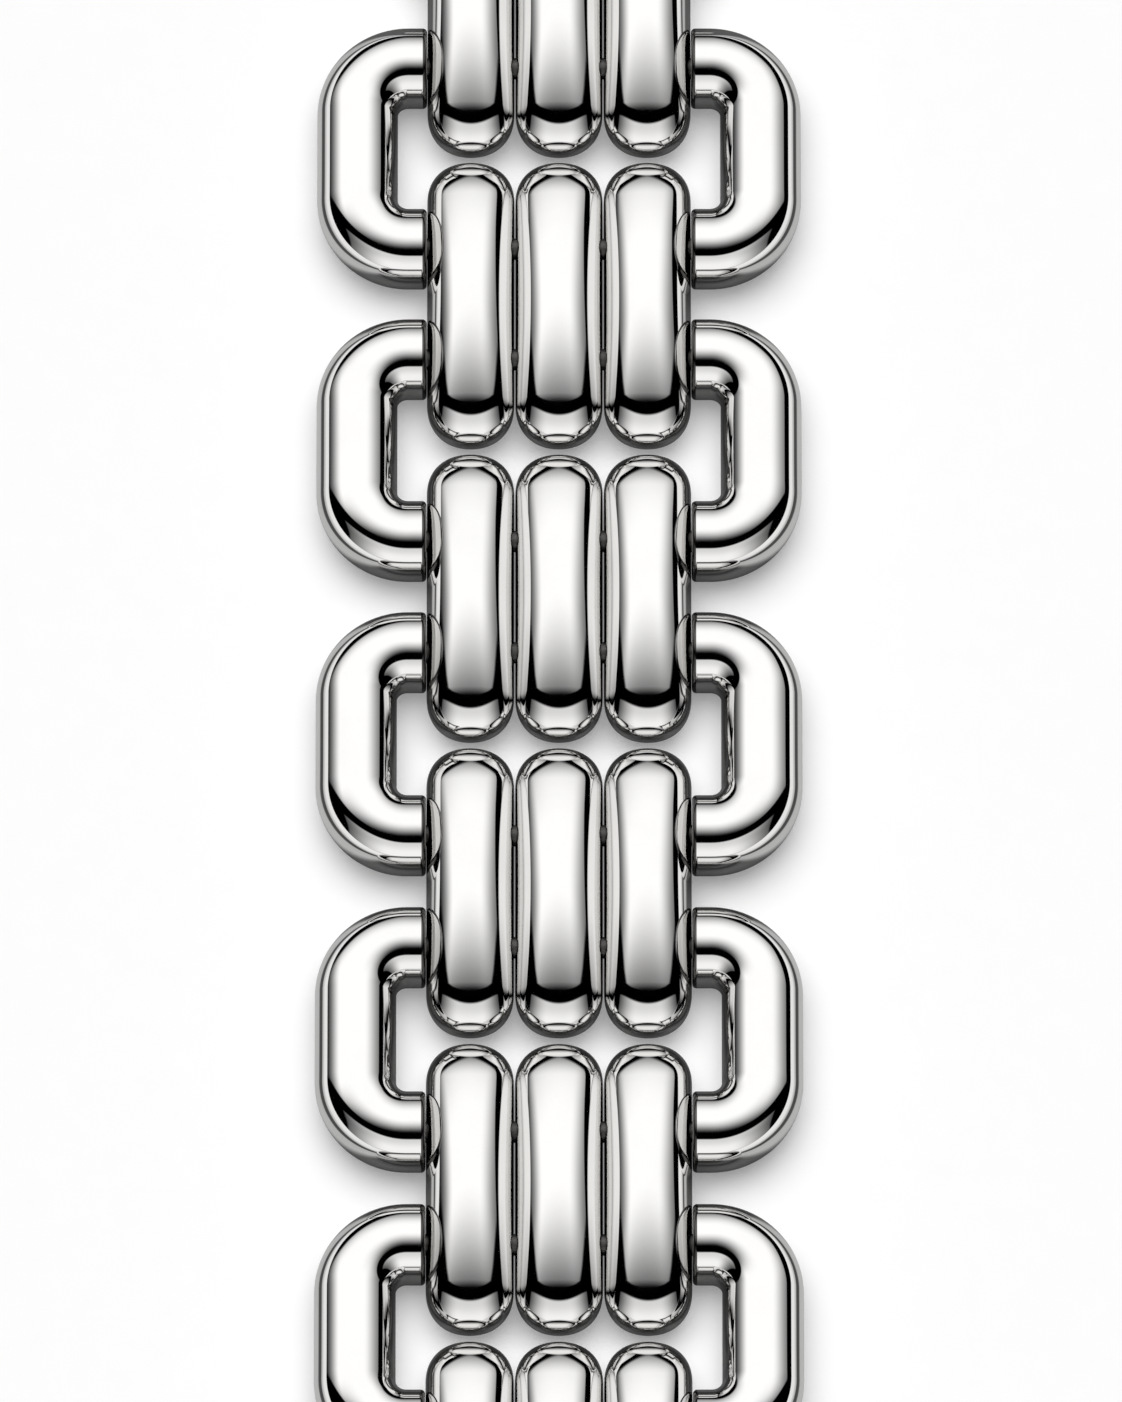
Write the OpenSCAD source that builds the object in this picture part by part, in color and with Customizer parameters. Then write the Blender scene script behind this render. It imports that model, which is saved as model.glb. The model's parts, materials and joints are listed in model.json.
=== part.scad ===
// Metal watch bracelet, laid flat with its clasp closed, in millimetres.
// +X runs across the bracelet, +Y to the twelve o'clock watch end, and +Z out of the wrist.
// The origin is the middle of the underside.

/* [Barrel rows] */
// Rows of barrels on the twelve o'clock strap
rows_12 = 6; // [2:1:6]
// Rows of barrels on the six o'clock strap
rows_6 = 5; // [2:1:5]
// Distance between the watch's lugs
lug_gap = 10; // [9:0.5:12]
// Play between a row's side and a lug
lug_play = 0.1; // [0.05:0.01:0.2]
// Length of a barrel, end to end
barrel_len = 11.18; // [10:0.02:12]
// Gap between the three barrels of a row
barrel_gap = 0.04; // [0.03:0.01:0.1]
// Gap between the barrel ends of one row and the next
end_gap = 0.41; // [0.3:0.01:0.8]
// Distance between the two pins through one row
row_pin_span = 4.39; // [4.2:0.01:5]

/* [C links] */
// Diameter of a C link's round bar
link_d = 3.0; // [2.8:0.05:3.2]
// How far a C link stands out past the side of a row
link_reach = 4.1; // [3.9:0.05:5]
// Radius of a C link's corner, at the middle of its bar
link_bend_r = 1.9; // [1.7:0.05:2.1]
// Gap between a C link's leg and the side of a row
link_play = 0.08; // [0.05:0.01:0.15]
// Chamfer round the end of a C link's leg
leg_chamfer = 0.12; // [0.05:0.01:0.25]

/* [Link pins] */
// Diameter of a link pin
pin_d = 0.8; // [0.7:0.05:1]
// Radial clearance of a link pin in its bore
pin_play = 0.04; // [0.02:0.01:0.08]
// How far a link pin is pressed into each leg
pin_grip = 1.8; // [1.2:0.05:2]
// Space left past a link pin's end in its blind hole
pin_end_space = 0.1; // [0.05:0.01:0.2]

/* [Spring bars] */
// Diameter of a spring bar's tube
bar_d = 1.5; // [1.4:0.05:1.6]
// Radial clearance of a spring bar's tube in its bore
bar_play = 0.05; // [0.02:0.01:0.08]
// Wall of a spring bar's tube
bar_wall = 0.22; // [0.18:0.01:0.25]
// Thickness of the lip rolled in at each end of the tube
bar_lip = 0.25; // [0.2:0.01:0.35]
// Diameter of a spring bar's tip
tip_d = 0.8; // [0.7:0.05:0.85]
// How far a tip stands out past the side of its row, which is also its travel
tip_out = 1.0; // [0.8:0.05:1.2]
// Chamfer round a tip's end
tip_chamfer = 0.1; // [0.05:0.01:0.15]
// Thickness of a tip's flange, which is flush with the side of its row
flange_t = 0.5; // [0.4:0.01:0.6]
// Length of the head that keeps a tip in its tube
head_len = 0.5; // [0.3:0.05:0.7]
// Radial clearance of a tip in its tube and of the spring
tip_play = 0.04; // [0.02:0.01:0.06]
// Room left between a flange and its tube when the tip is pushed in
tip_stop_gap = 0.05; // [0.02:0.01:0.1]
// Radial thickness of the coil spring
spring_t = 0.2; // [0.15:0.01:0.25]

/* [Clasp] */
// Length of the clasp's cover
cover_len = 26; // [24:0.5:34]
// Thickness of the cover at the crest of a rib
cover_t = 1.7; // [1.65:0.05:2.2]
// Thickness of the cover in the valley between two ribs
valley_t = 0.6; // [0.5:0.05:1]
// Thickness of the cover's side walls
wall_t = 0.6; // [0.4:0.05:0.7]
// Height of the lower arm over the bracelet's underside
arm_lift = 0.15; // [0.1:0.01:0.25]
// Thickness of the two arms
arm_t = 0.7; // [0.6:0.05:0.75]
// Space between the two arms when folded
arm_space = 0.45; // [0.4:0.05:0.6]
// Width of the middle arm
middle_w = 5.4; // [4.4:0.1:5.6]
// Width of the middle arm's tongue at its hinge with the lower arm
tongue_w = 3.0; // [2.4:0.1:3.2]
// Gap between the lower arm and each side wall
arm_side_gap = 0.5; // [0.3:0.05:0.7]
// Radius of the hinge knuckles
knuckle_r = 0.75; // [0.7:0.01:0.85]
// Side play of a knuckle between its neighbours
knuckle_play = 0.1; // [0.05:0.01:0.2]
// Diameter of the clasp's hinge pins
hinge_pin_d = 0.8; // [0.6:0.05:0.9]
// Wall of the bosses round the link pins at the clasp's ends
boss_wall = 0.54; // [0.4:0.01:0.6]
// Clearance between clasp pieces that pass each other
clasp_play = 0.15; // [0.1:0.01:0.25]
// Room between bosses, knuckles and catch along the clasp
clasp_room = 0.4; // [0.3:0.05:0.6]
// Diameter of the snap bar
snap_d = 0.7; // [0.6:0.05:0.8]
// Gap between the snap bar and the lips that hold it
snap_gap = 0.06; // [0.04:0.01:0.1]
// Thickness of the catch's two lips
lip_t = 0.35; // [0.25:0.05:0.4]
// Width of the catch
lip_w = 4.4; // [3:0.1:5]

/* [Hidden] */
$fn = 64;
// Overlap of pieces that are joined, and of cutters past the faces that they open
join = 0.05;

row_w = lug_gap - 2 * lug_play;
side_x = row_w / 2;
barrels = 3;
barrel_d = (row_w - (barrels - 1) * barrel_gap) / barrels;
barrel_step = barrel_d + barrel_gap;
end_reach = (barrel_len - row_pin_span) / 2;
link_pin_span = 2 * end_reach + end_gap;
row_pitch = row_pin_span + link_pin_span;
pin_z = link_d / 2;

rows = rows_12 + rows_6;
clasp_pin_span = cover_len - 2 * end_reach;
total_len = 2 * end_reach + rows * row_pitch + clasp_pin_span;
first_pin_y = total_len / 2 - end_reach;
cover_pin_y = first_pin_y - rows_12 * row_pitch;
arm_pin_y = cover_pin_y - clasp_pin_span;
cover_y = arm_pin_y - end_reach;

leg_x = side_x + link_play;
link_x = side_x + link_reach - link_d / 2;
corner_x = link_x - link_bend_r;
pin_half = leg_x + pin_grip;

bar_bore_d = bar_d + 2 * bar_play;
tube_bore_d = bar_d - 2 * bar_wall;
head_d = tube_bore_d - 2 * tip_play;
lip_bore_d = tip_d + 2 * tip_play;
flange_x = side_x - flange_t;
tube_half = flange_x - tip_out - tip_stop_gap;
head_x = tube_half - bar_lip - tip_play;
spring_half = head_x - head_len - tip_play;

boss_r = pin_d / 2 + pin_play + boss_wall;
arm_half = side_x - wall_t - arm_side_gap;
lower_top_z = arm_lift + arm_t;
middle_z = lower_top_z + arm_space;
hinge_1_z = middle_z + arm_t / 2;
hinge_2_z = lower_top_z + arm_space / 2;
ceiling_z = max(hinge_1_z + knuckle_r, pin_z + boss_r) + clasp_play;
cover_top_z = ceiling_z + cover_t;
rib_z = cover_top_z - barrel_d / 2;
wall_z = lower_top_z + clasp_play / 2;
snap_z = ceiling_z - clasp_play - snap_d / 2;
snap_hold = snap_d / 2 + snap_gap + lip_t;
snap_y = end_reach + boss_r + clasp_room + snap_hold;
hinge_1_y = snap_y + snap_hold + clasp_room + knuckle_r;
hinge_2_y = cover_len - end_reach - boss_r - clasp_room - knuckle_r;

function two_digits(i) = i < 10 ? str("0", i) : str(i);
function side_name(x) = x < 0 ? "left" : "right";
// Middle of a row, and of the C links on the row's clasp side, along the bracelet
function row_y(i) =
  i <= rows_12
    ? first_pin_y - (i - 1) * row_pitch - row_pin_span / 2
    : arm_pin_y - (i - rows_12) * row_pitch + row_pin_span / 2;
function link_y(i) =
  i <= rows_12
    ? first_pin_y - i * row_pitch + link_pin_span / 2
    : arm_pin_y - (i - rows_12 - 1) * row_pitch - link_pin_span / 2;
function bar_y(bar) = bar == "spring_bar_12" ? first_pin_y : -first_pin_y;

SIDES = [-1, 1];
BARS = ["spring_bar_12", "spring_bar_6"];

// A round bar along X, centred at (y, z)
module cross_bar(d, half, y = 0, z = 0) {
  translate([-half, y, z])
    rotate([0, 90, 0])
      cylinder(d = d, h = 2 * half);
}

// A round-ended barrel along Y, its middle at the origin
module capsule(d, len) {
  straight = len - d;
  rotate([90, 0, 0])
    cylinder(d = d, h = straight, center = true);
  for (end = [-1, 1])
    translate([0, end * straight / 2, 0])
      sphere(d = d);
}

// A box that reaches as far to the left as to the right
module wide_box(half, y0, y1, z0, z1) {
  translate([-half, y0, z0])
    cube([2 * half, y1 - y0, z1 - z0]);
}

module barrel_row(i) {
  watch_end = i == 1 ? 1 : (i == rows ? -1 : 0);
  color("silver")
    translate([0, row_y(i), 0])
      difference() {
        for (k = [0 : barrels - 1])
          translate([(k - (barrels - 1) / 2) * barrel_step, 0, barrel_d / 2])
            capsule(barrel_d, barrel_len);
        for (end = [-1, 1]) {
          bore_d = end == watch_end ? bar_bore_d : pin_d + 2 * pin_play;
          cross_bar(bore_d, side_x + join, end * row_pin_span / 2, pin_z);
        }
      }
}

// One leg and corner of a right-hand C link, towards +Y
module c_link_arm() {
  translate([0, link_pin_span / 2, 0]) {
    translate([leg_x, 0, 0])
      rotate([0, 90, 0]) {
        cylinder(d1 = link_d - 2 * leg_chamfer, d2 = link_d, h = leg_chamfer);
        translate([0, 0, leg_chamfer])
          cylinder(d = link_d, h = corner_x - leg_x - leg_chamfer);
      }
    translate([corner_x, -link_bend_r, 0])
      rotate_extrude(angle = 90)
        translate([link_bend_r, 0])
          circle(d = link_d);
  }
}

module c_link(i, x) {
  straight = link_pin_span - 2 * link_bend_r;
  color("silver")
    translate([0, link_y(i), pin_z])
      mirror([x < 0 ? 1 : 0, 0, 0])
        difference() {
          union() {
            c_link_arm();
            mirror([0, 1, 0])
              c_link_arm();
            translate([link_x, straight / 2, 0])
              rotate([90, 0, 0])
                cylinder(d = link_d, h = straight);
          }
          for (end = [-1, 1])
            cross_bar(pin_d, pin_half + pin_end_space, end * link_pin_span / 2);
        }
}

module link_pins(i) {
  color("gray")
    for (end = [-1, 1])
      cross_bar(pin_d, pin_half, link_y(i) + end * link_pin_span / 2, pin_z);
}

module bar_tube(bar) {
  color("gray")
    translate([0, bar_y(bar), pin_z])
      difference() {
        cross_bar(bar_d, tube_half);
        cross_bar(tube_bore_d, tube_half - bar_lip);
        cross_bar(lip_bore_d, tube_half + join);
      }
}

module bar_tip(bar, x) {
  color("gray")
    translate([0, bar_y(bar), pin_z])
      mirror([x < 0 ? 1 : 0, 0, 0])
        rotate([0, 90, 0]) {
          translate([0, 0, head_x - head_len])
            cylinder(d = head_d, h = head_len);
          translate([0, 0, head_x - join])
            cylinder(d = tip_d, h = side_x + tip_out - tip_chamfer - head_x + join);
          translate([0, 0, flange_x])
            cylinder(d = bar_d, h = flange_t);
          translate([0, 0, side_x + tip_out - tip_chamfer])
            cylinder(d1 = tip_d, d2 = tip_d - 2 * tip_chamfer, h = tip_chamfer);
        }
}

module bar_spring(bar) {
  color("dimgray")
    translate([0, bar_y(bar), pin_z])
      difference() {
        cross_bar(head_d, spring_half);
        cross_bar(head_d - 2 * spring_t, spring_half + join);
      }
}

// The three long ribs that carry the barrels' look across the clasp
module cover_ribs() {
  intersection() {
    for (k = [0 : barrels - 1])
      translate([(k - (barrels - 1) / 2) * barrel_step, cover_len / 2, rib_z])
        capsule(barrel_d, cover_len);
    wide_box(side_x + join, -join, cover_len + join, ceiling_z, cover_top_z + join);
  }
}

// What the cover carries under its ribs: side walls, hinge ears and the pin boss
module cover_underside() {
  wall_start = end_reach + boss_r + clasp_play;
  boss_y = cover_len - end_reach;
  difference() {
    wide_box(side_x, wall_start, boss_y, wall_z, rib_z);
    wide_box(side_x - wall_t, wall_start - join, boss_y + join, 0, ceiling_z);
  }
  difference() {
    wide_box(
      side_x - wall_t + join,
      hinge_1_y - knuckle_r,
      hinge_1_y + knuckle_r,
      wall_z,
      ceiling_z + join
    );
    wide_box(
      middle_w / 2 + knuckle_play,
      hinge_1_y - knuckle_r - join,
      hinge_1_y + knuckle_r + join,
      0,
      ceiling_z
    );
  }
  cross_bar(2 * boss_r, side_x, boss_y, pin_z);
  wide_box(side_x, boss_y - boss_r, boss_y + boss_r, pin_z, ceiling_z + join);
}

module clasp_cover() {
  color("silver")
    translate([0, cover_y, 0])
      difference() {
        union() {
          cover_ribs();
          wide_box(
            side_x - barrel_d / 4,
            barrel_d / 2,
            cover_len - barrel_d / 2,
            ceiling_z,
            ceiling_z + valley_t
          );
          cover_underside();
        }
        cross_bar(pin_d + 2 * pin_play, side_x + join, cover_len - end_reach, pin_z);
        cross_bar(hinge_pin_d, side_x + join, hinge_1_y, hinge_1_z);
        cross_bar(snap_d, side_x + join, snap_y, snap_z);
      }
}

module clasp_middle_arm() {
  running_d = hinge_pin_d + 2 * pin_play;
  color("lightgray")
    translate([0, cover_y, 0])
      difference() {
        union() {
          cross_bar(2 * knuckle_r, middle_w / 2, hinge_1_y, hinge_1_z);
          wide_box(
            middle_w / 2,
            hinge_1_y,
            hinge_2_y - knuckle_r - clasp_play,
            middle_z,
            middle_z + arm_t
          );
          wide_box(
            tongue_w / 2,
            hinge_1_y,
            hinge_2_y,
            middle_z,
            hinge_2_z + knuckle_r
          );
          cross_bar(2 * knuckle_r, tongue_w / 2, hinge_2_y, hinge_2_z);
        }
        cross_bar(running_d, middle_w, hinge_1_y, hinge_1_z);
        cross_bar(running_d, middle_w, hinge_2_y, hinge_2_z);
      }
}

module clasp_lower_arm() {
  slot_half = tongue_w / 2 + knuckle_play;
  color("lightgray")
    translate([0, cover_y, 0])
      difference() {
        union() {
          cross_bar(2 * boss_r, side_x, end_reach, pin_z);
          wide_box(arm_half, end_reach - boss_r, end_reach + boss_r, arm_lift, pin_z);
          wide_box(arm_half, end_reach, hinge_2_y, arm_lift, lower_top_z);
          cross_bar(2 * knuckle_r, arm_half, hinge_2_y, hinge_2_z);
          for (lip = [-1, 1])
            translate([0, snap_y + lip * (snap_hold - lip_t / 2), 0])
              wide_box(lip_w / 2, -lip_t / 2, lip_t / 2, arm_lift, snap_z + snap_d / 2);
        }
        wide_box(
          slot_half,
          hinge_2_y - knuckle_r - clasp_play,
          hinge_2_y + knuckle_r + join,
          0,
          ceiling_z
        );
        cross_bar(pin_d + 2 * pin_play, side_x + join, end_reach, pin_z);
        cross_bar(hinge_pin_d, arm_half + join, hinge_2_y, hinge_2_z);
      }
}

module clasp_hinge_pin_1() {
  color("gray")
    cross_bar(hinge_pin_d, side_x, cover_y + hinge_1_y, hinge_1_z);
}

module clasp_hinge_pin_2() {
  color("gray")
    cross_bar(hinge_pin_d, arm_half, cover_y + hinge_2_y, hinge_2_z);
}

module clasp_snap_bar() {
  color("gray")
    cross_bar(snap_d, side_x, cover_y + snap_y, snap_z);
}

for (i = [1 : rows])
  barrel_row(i);
for (i = [1 : rows], x = SIDES)
  c_link(i, x);
for (i = [1 : rows])
  link_pins(i);
for (bar = BARS)
  bar_tube(bar);
for (bar = BARS, x = SIDES)
  bar_tip(bar, x);
for (bar = BARS)
  bar_spring(bar);
clasp_cover();
clasp_middle_arm();
clasp_lower_arm();
clasp_hinge_pin_1();
clasp_hinge_pin_2();
clasp_snap_bar();
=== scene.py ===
"""Polished metal watch bracelet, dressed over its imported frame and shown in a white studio."""

import json
import math

import bmesh
import bpy
from bpy.props import FloatProperty, FloatVectorProperty, IntProperty, PointerProperty
from mathutils import Matrix, Vector

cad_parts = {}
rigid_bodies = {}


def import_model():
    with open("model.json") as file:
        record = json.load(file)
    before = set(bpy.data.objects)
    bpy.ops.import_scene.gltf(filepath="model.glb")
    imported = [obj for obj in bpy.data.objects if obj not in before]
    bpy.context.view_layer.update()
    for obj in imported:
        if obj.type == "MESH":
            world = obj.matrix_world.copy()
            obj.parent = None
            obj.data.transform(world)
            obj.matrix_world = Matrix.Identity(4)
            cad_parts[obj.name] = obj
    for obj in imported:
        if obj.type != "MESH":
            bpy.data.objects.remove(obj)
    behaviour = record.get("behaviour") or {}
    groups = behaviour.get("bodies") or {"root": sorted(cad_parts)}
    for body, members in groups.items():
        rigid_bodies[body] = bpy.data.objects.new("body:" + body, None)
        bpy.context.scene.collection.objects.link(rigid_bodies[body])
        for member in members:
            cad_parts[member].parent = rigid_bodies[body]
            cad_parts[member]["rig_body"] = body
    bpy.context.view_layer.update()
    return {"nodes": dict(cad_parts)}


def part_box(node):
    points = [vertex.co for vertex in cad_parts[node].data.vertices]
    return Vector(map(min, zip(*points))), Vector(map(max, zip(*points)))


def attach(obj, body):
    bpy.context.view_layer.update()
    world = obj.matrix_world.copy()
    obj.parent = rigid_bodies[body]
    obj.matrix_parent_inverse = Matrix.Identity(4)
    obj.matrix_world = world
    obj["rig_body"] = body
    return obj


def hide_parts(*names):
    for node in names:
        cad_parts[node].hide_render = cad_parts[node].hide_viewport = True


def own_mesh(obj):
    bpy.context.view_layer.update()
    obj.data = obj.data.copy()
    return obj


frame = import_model()

bl_info = {
    "name": "Metal Watch Bracelet",
    "version": (1, 0, 0),
    "blender": (4, 5, 0),
    "location": "View3D > Sidebar > Bracelet",
    "description": "Builds the barrels, links, clasp and studio of a polished watch bracelet",
    "category": "Add Mesh",
}

# Shapes are worked out in millimetres and brought to metres when a piece is finished
MM = 0.001
# Points closer than this are one point, in millimetres
WELD = 0.0004
# Edges that turn by more than this stay sharp, in degrees
CREASE = 35

NODES = sorted(frame["nodes"])
ROWS = [n for n in NODES if n.startswith("barrel_row_")]
LINK_PINS = [n for n in NODES if n.startswith("link_pins_")]
BARS = ("spring_bar_12", "spring_bar_6")


def box_mm(node):
    """Lowest and highest corner of a CAD node, in millimetres."""
    low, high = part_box(node)
    return low / MM, high / MM


def middle(node):
    """Middle of a CAD node's box, in millimetres."""
    low, high = box_mm(node)
    return (low + high) / 2


def span(node):
    """Size of a CAD node's box, in millimetres."""
    low, high = box_mm(node)
    return high - low


def body_of_node(node):
    return frame["nodes"][node]["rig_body"]


ROW_SPAN = span("barrel_row_02")
LINK_SPAN = span("c_link_right_02")
PINS_SPAN = span("link_pins_02")
LINK_START_X = box_mm("c_link_right_02")[0].x
TUBE_SPAN = span("spring_bar_12_tube")
SPRING_SPAN = span("spring_bar_12_spring")
# Between a row's two pins: the pitch, less what lies between the two pins of one pair of C links
ROW_PIN_SPAN = middle("link_pins_01").y - middle("link_pins_02").y
ROW_PIN_SPAN -= PINS_SPAN.y - PINS_SPAN.z


class BarrelSizes(bpy.types.PropertyGroup):
    diameter: FloatProperty(
        name="Diameter",
        description="Diameter of a barrel",
        default=ROW_SPAN.z * MM,
        subtype="DISTANCE",
    )
    length: FloatProperty(
        name="Length",
        description="Length of a barrel over its round ends",
        default=ROW_SPAN.y * MM,
        subtype="DISTANCE",
    )
    bluntness: FloatProperty(
        name="Bluntness",
        description="Power of a barrel's end caps: 2 is half a ball",
        default=2.25,
        min=2,
        max=4,
    )
    far_end: FloatProperty(
        name="Far end",
        description="What the dome takes from a barrel's outline at its 12 o'clock end, given back there",
        default=0.08 * MM,
        subtype="DISTANCE",
    )
    dome_radius: FloatProperty(
        name="Dome radius",
        description="Radius of the long arc that a barrel's top follows",
        default=14.7 * MM,
        subtype="DISTANCE",
    )
    pin_bore: FloatProperty(
        name="Pin bore",
        description="Diameter of the bores for link pins",
        default=(PINS_SPAN.z + 0.08) * MM,
        subtype="DISTANCE",
    )
    bar_bore: FloatProperty(
        name="Bar bore",
        description="Diameter of the bores for spring bars",
        default=1.6 * MM,
        subtype="DISTANCE",
    )
    segments: IntProperty(name="Segments", description="Facets round a barrel", default=96, min=24)


class LinkSizes(bpy.types.PropertyGroup):
    diameter: FloatProperty(
        name="Bar diameter",
        description="Diameter of a C link's round bar",
        default=LINK_SPAN.z * MM,
        subtype="DISTANCE",
    )
    bend_radius: FloatProperty(
        name="Bend radius",
        description="Radius of a C link's corners, at the middle of its bar",
        default=1.9 * MM,
        subtype="DISTANCE",
    )
    lip: FloatProperty(
        name="Lip radius",
        description="Rounding round the end of a leg",
        default=0.16 * MM,
        subtype="DISTANCE",
    )
    reach: FloatProperty(
        name="Reach",
        description="How far the end of a leg stands out, so that the gap to the barrel is a hairline",
        default=0.065 * MM,
        subtype="DISTANCE",
    )
    pin_diameter: FloatProperty(
        name="Pin diameter",
        description="Diameter of the link pins",
        default=PINS_SPAN.z * MM,
        subtype="DISTANCE",
    )
    hole_space: FloatProperty(
        name="Space past a pin",
        description="Space left past a pin's end in its hole",
        default=0.1 * MM,
        subtype="DISTANCE",
    )
    segments: IntProperty(
        name="Segments", description="Facets round a C link's bar", default=72, min=24
    )


class BarSizes(bpy.types.PropertyGroup):
    wall: FloatProperty(
        name="Tube wall",
        description="Wall of a spring bar's tube",
        default=0.22 * MM,
        subtype="DISTANCE",
    )
    lip: FloatProperty(
        name="Tube lip",
        description="Lip rolled in at each end of the tube",
        default=0.25 * MM,
        subtype="DISTANCE",
    )
    tip_diameter: FloatProperty(
        name="Tip diameter",
        description="Diameter of a tip",
        default=0.8 * MM,
        subtype="DISTANCE",
    )
    head: FloatProperty(
        name="Head length",
        description="Length of the head inside the tube",
        default=0.5 * MM,
        subtype="DISTANCE",
    )
    flange: FloatProperty(
        name="Flange",
        description="Thickness of a tip's flange",
        default=0.5 * MM,
        subtype="DISTANCE",
    )
    travel: FloatProperty(
        name="Travel",
        description="How far a tip slides in",
        default=1.0 * MM,
        subtype="DISTANCE",
    )
    wire: FloatProperty(
        name="Spring wire",
        description="Diameter of the spring's wire",
        default=0.2 * MM,
        subtype="DISTANCE",
    )
    turns: IntProperty(
        name="Turns", description="Turns of wire on each side of the middle", default=6, min=2
    )
    rounding: FloatProperty(
        name="Rounding",
        description="Rounding of the turned edges",
        default=0.06 * MM,
        subtype="DISTANCE",
    )


class ClaspSizes(bpy.types.PropertyGroup):
    edge: FloatProperty(
        name="Edge rounding",
        description="Rounding of the clasp's edges",
        default=0.05 * MM,
        subtype="DISTANCE",
    )
    pin_chamfer: FloatProperty(
        name="Pin chamfer",
        description="Chamfer round a pin's end",
        default=0.06 * MM,
        subtype="DISTANCE",
    )


class SteelLook(bpy.types.PropertyGroup):
    polished_colour: FloatVectorProperty(
        name="Polished steel",
        description="Colour of the mirror polish",
        default=(0.78, 0.775, 0.766),
        subtype="COLOR",
    )
    polished_roughness: FloatProperty(
        name="Polish roughness",
        description="Roughness of the mirror polish",
        default=0.03,
        min=0,
        max=1,
    )
    brushed_colour: FloatVectorProperty(
        name="Brushed steel",
        description="Colour of the brushed arms",
        default=(0.66, 0.655, 0.645),
        subtype="COLOR",
    )
    turned_colour: FloatVectorProperty(
        name="Turned steel",
        description="Colour of spring bars and clasp pins",
        default=(0.6, 0.6, 0.59),
        subtype="COLOR",
    )
    # Near black: painted shade for the link pins and for the dark lines round the legs' lips, standing in
    # for the dark gaps between links and barrels
    gap_shade_colour: FloatVectorProperty(
        name="Pin steel",
        description="Colour of the oiled link pins and of the collar lines",
        default=(0.09, 0.088, 0.085),
        subtype="COLOR",
    )
    wire_colour: FloatVectorProperty(
        name="Spring wire",
        description="Colour of the drawn wire",
        default=(0.38, 0.38, 0.39),
        subtype="COLOR",
    )


class StudioLook(bpy.types.PropertyGroup):
    floor_colour: FloatVectorProperty(
        name="Floor",
        description="Colour of the floor",
        default=(0.75, 0.75, 0.75),
        subtype="COLOR",
    )
    floor_lift: FloatProperty(
        name="Floor lift",
        description="Light the camera sees in the floor's shadows",
        default=0.25,
        min=0,
        max=1,
    )
    # Painted shadow: how dark the floor under the bracelet is painted where metal mirrors it
    shadow_in_metal: FloatProperty(
        name="Floor in the metal",
        description="How bright the floor under the bracelet is where metal mirrors it",
        default=0.12,
        min=0,
        max=1,
    )
    overhead: FloatProperty(
        name="Overhead panel",
        description="Brightness of the overhead panel",
        default=1.29,
        min=0,
        max=2,
    )
    key: FloatProperty(
        name="Key light",
        description="Brightness of the high soft key on matt surfaces",
        default=4.15,
        min=0,
        max=5,
    )
    walls: FloatProperty(
        name="Walls", description="Brightness of the tent's walls", default=1.04, min=0, max=2
    )
    lens: FloatProperty(
        name="Lens", description="Focal length of the camera in millimetres", default=800, min=50
    )


def sizes(name):
    return getattr(bpy.context.scene, f"bracelet_{name}")


def millimetres(group, *names):
    return {name: getattr(group, name) / MM for name in names}


# Mesh helpers

# How near an edge has to lie to a rim to be rounded with it, in millimetres
RIM_REACH = 0.002
# An edge whose ends differ by less than this along X lies across it, in millimetres
ACROSS = 1e-5


def edges_of(geom):
    return [item for item in geom if isinstance(item, bmesh.types.BMEdge)]


def verts_of(geom):
    return [item for item in geom if isinstance(item, bmesh.types.BMVert)]


def push(bm, edges, offset):
    """Draws a chain or ring of edges along a straight line and returns its new end."""
    made = bmesh.ops.extrude_edge_only(bm, edges=edges)["geom"]
    bmesh.ops.translate(bm, vec=offset, verts=verts_of(made))
    return edges_of(made)


def turn(bm, edges, centre, axis, degrees, steps):
    """Draws edges round an axis and returns their new end."""
    ends = {vert for edge in edges for vert in edge.verts}
    made = bmesh.ops.spin(
        bm,
        geom=list(ends) + edges,
        cent=centre,
        axis=axis,
        angle=math.radians(degrees),
        steps=steps,
        use_merge=False,
    )
    return edges_of(made["geom_last"])


def swell(bm, edges, centre, factor):
    """Extrudes a ring of edges towards or away from its centre and returns the new ring."""
    made = bmesh.ops.extrude_edge_only(bm, edges=edges)["geom"]
    place = Matrix.Translation(-Vector(centre))
    bmesh.ops.scale(bm, vec=(factor, factor, factor), space=place, verts=verts_of(made))
    return edges_of(made)


def full_turn(bm, axis, steps):
    """Spins everything once round an axis through the origin."""
    bmesh.ops.spin(
        bm,
        geom=bm.verts[:] + bm.edges[:],
        cent=(0, 0, 0),
        axis=axis,
        angle=math.tau,
        steps=steps,
        use_merge=True,
    )


def closed(bm):
    """Merges what lies together and turns the faces outwards."""
    bmesh.ops.remove_doubles(bm, verts=bm.verts[:], dist=WELD)
    bmesh.ops.recalc_face_normals(bm, faces=bm.faces[:])


def turned(profile, mirrored=False, steps=64):
    """Spins a profile of (x, radius) points round the X axis, mirrored past x = 0 if asked."""
    bm = bmesh.new()
    verts = [bm.verts.new((x, radius, 0)) for x, radius in profile]
    for pair in zip(verts, verts[1:]):
        bm.edges.new(pair)
    if mirrored:
        bmesh.ops.mirror(bm, geom=bm.verts[:] + bm.edges[:], axis="X", merge_dist=WELD)
    full_turn(bm, (1, 0, 0), steps)
    closed(bm)
    return bm


def on_rim(vert, x, radius):
    away = math.hypot(vert.co.y, vert.co.z)
    return abs(vert.co.x - x) < RIM_REACH and abs(away - radius) < RIM_REACH


def round_rims(bm, rims, offset, segments=3):
    """Rounds the rings of edges that lie at the given (x, radius) places about the X axis."""
    chosen = []
    for edge in bm.edges:
        for x, radius in rims:
            if all(on_rim(vert, x, radius) for vert in edge.verts):
                chosen.append(edge)
    bmesh.ops.bevel(
        bm,
        geom=chosen,
        offset=offset,
        affect="EDGES",
        segments=segments,
        profile=0.5,
        material=-1,
    )


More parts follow.
